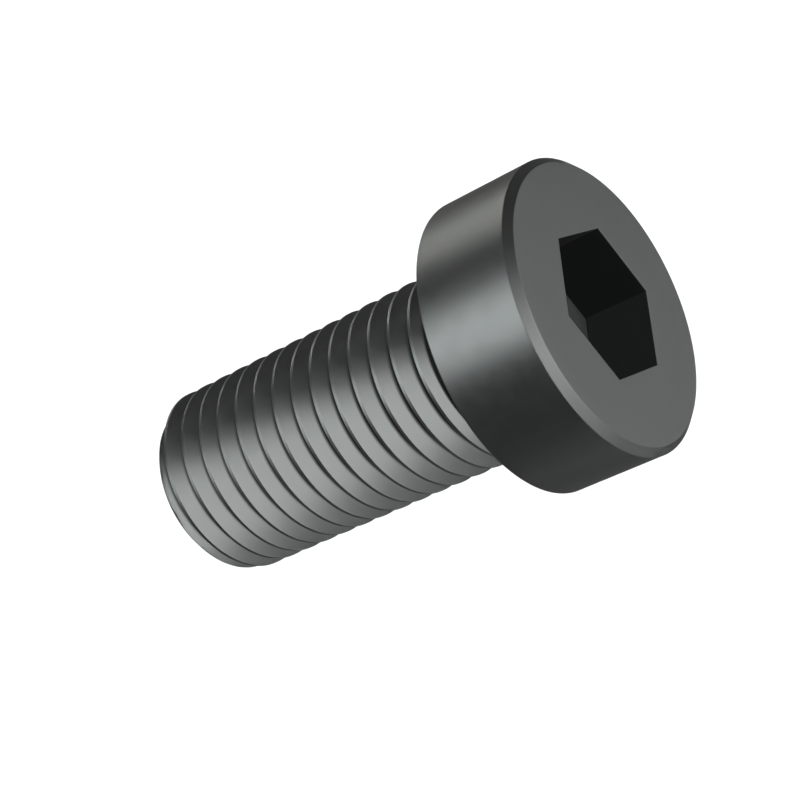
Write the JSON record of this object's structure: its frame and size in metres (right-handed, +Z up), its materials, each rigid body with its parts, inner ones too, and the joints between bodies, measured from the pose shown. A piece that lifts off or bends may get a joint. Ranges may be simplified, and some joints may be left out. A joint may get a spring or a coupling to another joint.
{
  "type": "low head socket cap screw",
  "caption": "Low cylindrical head screw with a hexagon socket and a coarse right-hand thread up to its head, in blackened steel, lying as it comes to rest.",
  "frame": {"origin": "centre of the head's bearing face, on the screw's own axis", "axes": "+Z up, +X level from the head towards the point; the screw's own axis dips 7.9 degrees below +X, because the screw lies on the rim of its head and on its thread"},
  "size_m": [0.0534, 0.03, 0.0311],
  "materials": {
    "black_steel": "black oxide, satin"
  },
  "bodies": {
    "root": {"cap_screw": "black_steel"}
  },
  "joints": []
}
